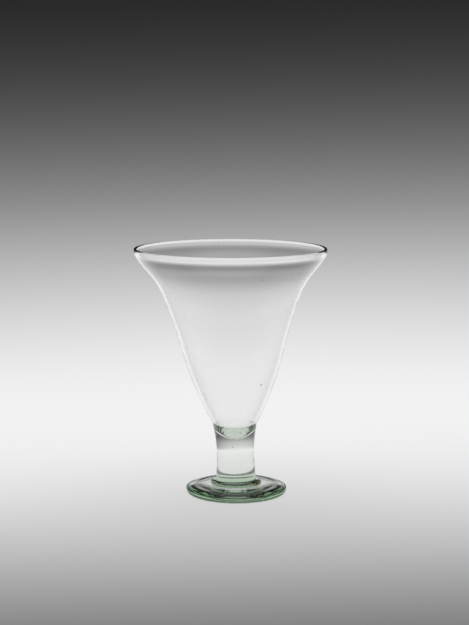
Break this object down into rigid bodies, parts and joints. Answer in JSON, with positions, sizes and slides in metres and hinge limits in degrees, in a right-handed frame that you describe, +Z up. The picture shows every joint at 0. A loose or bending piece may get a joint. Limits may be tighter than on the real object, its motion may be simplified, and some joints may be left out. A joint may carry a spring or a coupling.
{
  "type": "stemmed glass cup",
  "caption": "Hand-blown stemmed glass cup: conical bowl with a flared, rounded lip on a solid waisted stem, with a low collar and a thick disc foot.",
  "frame": {"origin": "centre of the foot's flat underside, on the surface that the cup stands on", "axes": "+Z up, out of the bowl's mouth; +X to the right of the pictured view, which looks along +Y; the rim leans 3.1 mm towards -X"},
  "size_m": [0.1001, 0.1, 0.129],
  "materials": {
    "bowl_glass": "clear hand-blown glass with a faint green tint and a few seed bubbles",
    "stem_glass": "clear solid glass with a pale green tint and seed bubbles",
    "collar_glass": "clear solid green-tinted glass, stained brown at one side",
    "foot_glass": "clear solid green-tinted glass, dark where it is seen edge on"
  },
  "bodies": {
    "root": {"bowl": "bowl_glass", "stem": "stem_glass", "foot_collar": "collar_glass", "foot": "foot_glass"}
  },
  "joints": []
}
